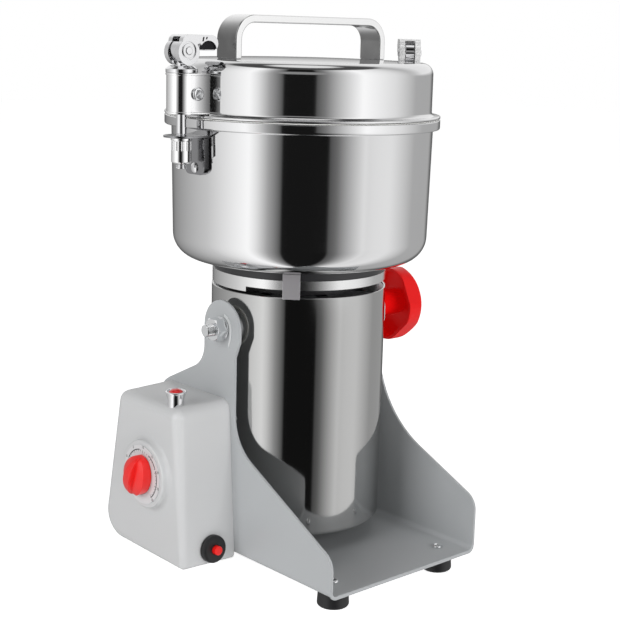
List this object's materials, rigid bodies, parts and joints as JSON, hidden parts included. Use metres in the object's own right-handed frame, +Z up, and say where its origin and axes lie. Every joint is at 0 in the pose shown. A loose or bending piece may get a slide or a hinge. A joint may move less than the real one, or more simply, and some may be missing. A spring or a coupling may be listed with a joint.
{
  "type": "electric grain mill",
  "caption": "Swing-type electric grain mill: a steel grinding bowl with a latched lid over a motor can that tips forward between the cheeks of a sheet-steel stand.",
  "frame": {"origin": "on the floor, under the axis of the motor can and the bowl", "axes": "+Z up along the motor axis; +X along the tilt pivot, towards the clamping knob; -Y out of the open front, the way the bowl tips to pour"},
  "size_m": [0.2992, 0.2455, 0.4431],
  "materials": {
    "grey_powder_coat": "fine-textured powder coat, satin",
    "pale_grey_plastic": "smooth satin enamel",
    "black_rubber": "matte moulded rubber",
    "zinc_steel": "bright zinc plate",
    "white_nylon": "natural nylon",
    "dial_print": "printed scale on a pale ground",
    "bright_chrome": "polished chrome plate",
    "red_lens": "clear red lens",
    "black_plastic": "black moulded plastic",
    "brass": "bright pressed brass",
    "red_plastic": "glossy red moulding",
    "brushed_steel": "spun and brushed stainless, near-mirror",
    "polished_steel": "polished stainless",
    "cast_aluminium": "fine cast surface",
    "bearing_steel": "ground steel",
    "lamination_steel": "stacked and varnished sheets",
    "copper_winding": "enamelled copper wire",
    "carbon": "pressed carbon",
    "dark_plastic": "dark moulded plastic",
    "silicone": "translucent white silicone"
  },
  "bodies": {
    "stand": {"base_frame": "grey_powder_coat", "rubber_feet": "black_rubber", "foot_screws": "zinc_steel", "pivot_bushes": "white_nylon", "control_box": "pale_grey_plastic", "box_screws": "zinc_steel", "dial_plate": "dial_print", "timer_case": "white_nylon", "lamp_bezel": "bright_chrome", "lamp_lens": "red_lens", "reset_boot": "black_rubber", "breaker_body": "black_plastic", "power_inlet": "black_plastic", "inlet_pins": "brass", "pivot_washers": "zinc_steel"},
    "head": {"motor_can": "brushed_steel", "bottom_cover": "black_plastic", "head_screws": "zinc_steel", "lower_end_bell": "cast_aluminium", "upper_end_bell": "cast_aluminium", "bearings": "bearing_steel", "stator_core": "lamination_steel", "field_coils": "copper_winding", "brush_holders": "brass", "carbon_brushes": "carbon", "neck_ring": "polished_steel", "spacer_tabs": "polished_steel", "mount_plate": "dark_plastic", "rubber_pad": "dark_plastic", "bowl": "brushed_steel", "rim_seal": "silicone", "shaft_seal": "silicone", "left_lower_bracket": "polished_steel", "right_lower_bracket": "polished_steel", "bracket_rivets": "polished_steel", "pivot_bosses": "cast_aluminium", "pivot_studs": "zinc_steel", "pivot_nut": "zinc_steel"},
    "rotor": {"motor_shaft": "bearing_steel", "armature_core": "lamination_steel", "armature_windings": "copper_winding", "commutator": "copper_winding", "cooling_fan": "black_plastic", "cutting_blades": "polished_steel", "blade_spacers": "polished_steel", "blade_nut": "zinc_steel"},
    "lid": {"lid_shell": "brushed_steel", "lid_handle": "polished_steel", "upper_brackets": "polished_steel", "bracket_screws": "zinc_steel", "eye_bolts": "bright_chrome", "cam_seats": "bright_chrome", "lever_pins": "bright_chrome"},
    "left_lever": {"left_cam_lever": "bright_chrome"},
    "right_lever": {"right_cam_lever": "bright_chrome"},
    "left_nut": {"left_knurled_nut": "bright_chrome"},
    "right_nut": {"right_knurled_nut": "bright_chrome"},
    "clamp_knob": {"hand_knob": "red_plastic"},
    "timer": {"timer_knob": "red_plastic"},
    "reset": {"reset_button": "red_plastic"}
  },
  "joints": [
    {"name": "head_tilt", "type": "hinge", "parent": "stand", "child": "head", "pos_m": [0, 0, 0.2], "axis": [1, 0, 0], "range_deg": [0, 105]},
    {"name": "blade_spin", "type": "hinge", "parent": "head", "child": "rotor", "pos_m": [0, 0, 0.1], "axis": [0, 0, 1], "continuous": true},
    {"name": "lid_swing", "type": "hinge", "parent": "head", "child": "lid", "pos_m": [-0.1205, 0, 0.3661], "axis": [0, 0, 1], "range_deg": [0, 110]},
    {"name": "left_lever_lift", "type": "hinge", "parent": "lid", "child": "left_lever", "pos_m": [-0.1205, 0, 0.4154], "axis": [0, -1, 0], "range_deg": [0, 105]},
    {"name": "right_lever_lift", "type": "hinge", "parent": "lid", "child": "right_lever", "pos_m": [0.1205, 0, 0.4154], "axis": [0.7431, -0.6691, 0], "range_deg": [0, 105]},
    {"name": "left_nut_turn", "type": "hinge", "parent": "lid", "child": "left_nut", "pos_m": [-0.1205, 0, 0.34], "axis": [0, 0, 1], "continuous": true},
    {"name": "right_nut_turn", "type": "hinge", "parent": "lid", "child": "right_nut", "pos_m": [0.1205, 0, 0.34], "axis": [0, 0, 1], "continuous": true},
    {"name": "clamp_knob_turn", "type": "hinge", "parent": "head", "child": "clamp_knob", "pos_m": [0.1, 0, 0.2], "axis": [1, 0, 0], "range_deg": [0, 270]},
    {"name": "timer_turn", "type": "hinge", "parent": "stand", "child": "timer", "pos_m": [-0.14, 0.026, 0.084], "axis": [1, 0, 0], "range_deg": [0, 300]},
    {"name": "reset_press", "type": "slide", "parent": "stand", "child": "reset", "axis": [0, 0.9976, -0.0685], "range_m": [0, 0.0025], "stiffness_N_per_m": 400}
  ]
}
